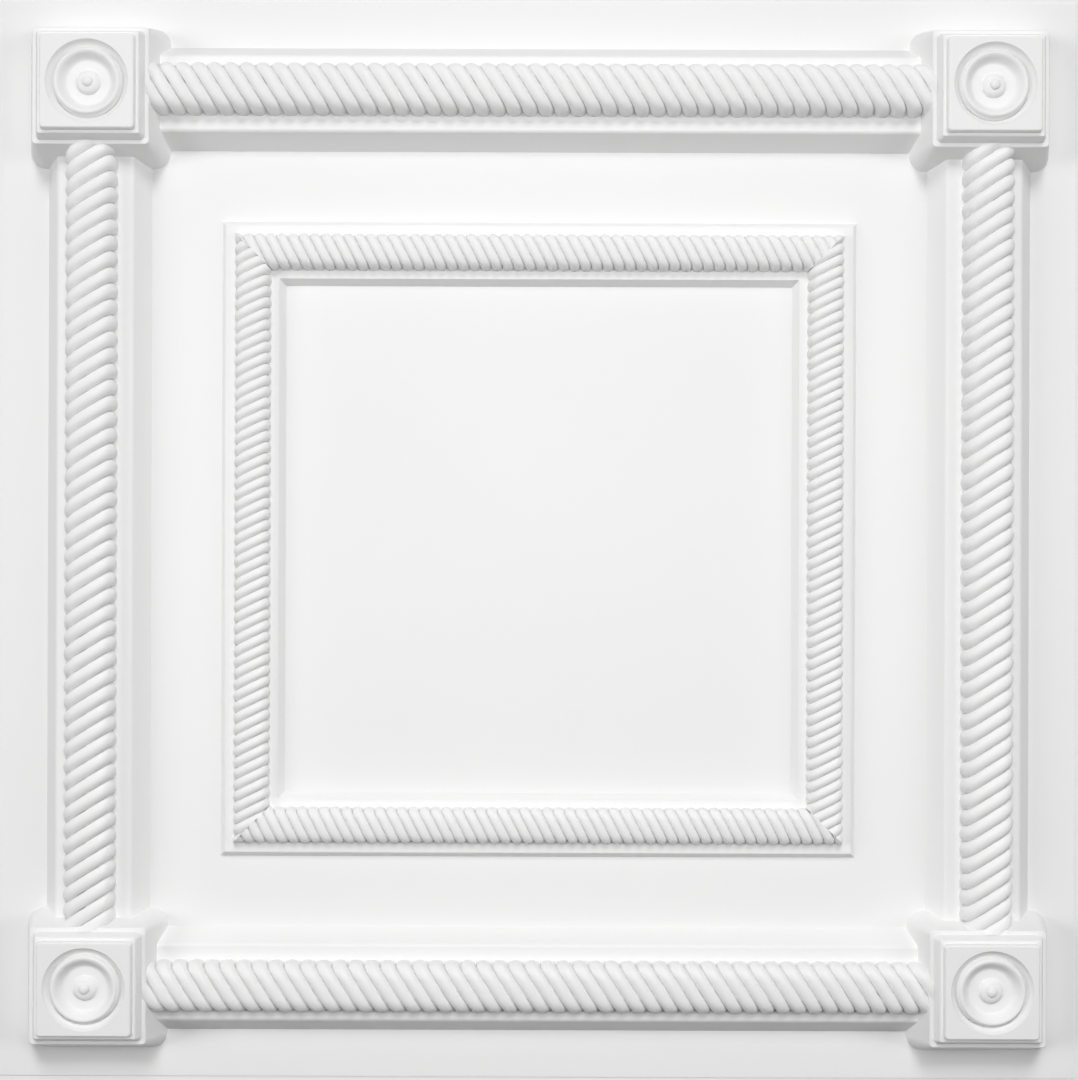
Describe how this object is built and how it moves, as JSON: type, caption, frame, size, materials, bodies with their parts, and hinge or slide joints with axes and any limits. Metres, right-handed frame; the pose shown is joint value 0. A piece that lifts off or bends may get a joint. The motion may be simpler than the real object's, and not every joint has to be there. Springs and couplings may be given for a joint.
{
  "type": "pvc ceiling tile",
  "caption": "Square vacuum-formed ceiling tile: flat margin, rope-moulded beams meeting in corner blocks with bullseye rosettes, and a low rope frame round a plain middle panel.",
  "frame": {"origin": "under the middle of the tile, on the plane of its back", "axes": "+Z out of the show face, along the relief; X and Y along the tile's sides"},
  "size_m": [0.603, 0.603, 0.0327],
  "materials": {
    "white_pvc": "satin moulded PVC, white through the sheet"
  },
  "bodies": {
    "root": {"ceiling_tile": "white_pvc"}
  },
  "joints": []
}
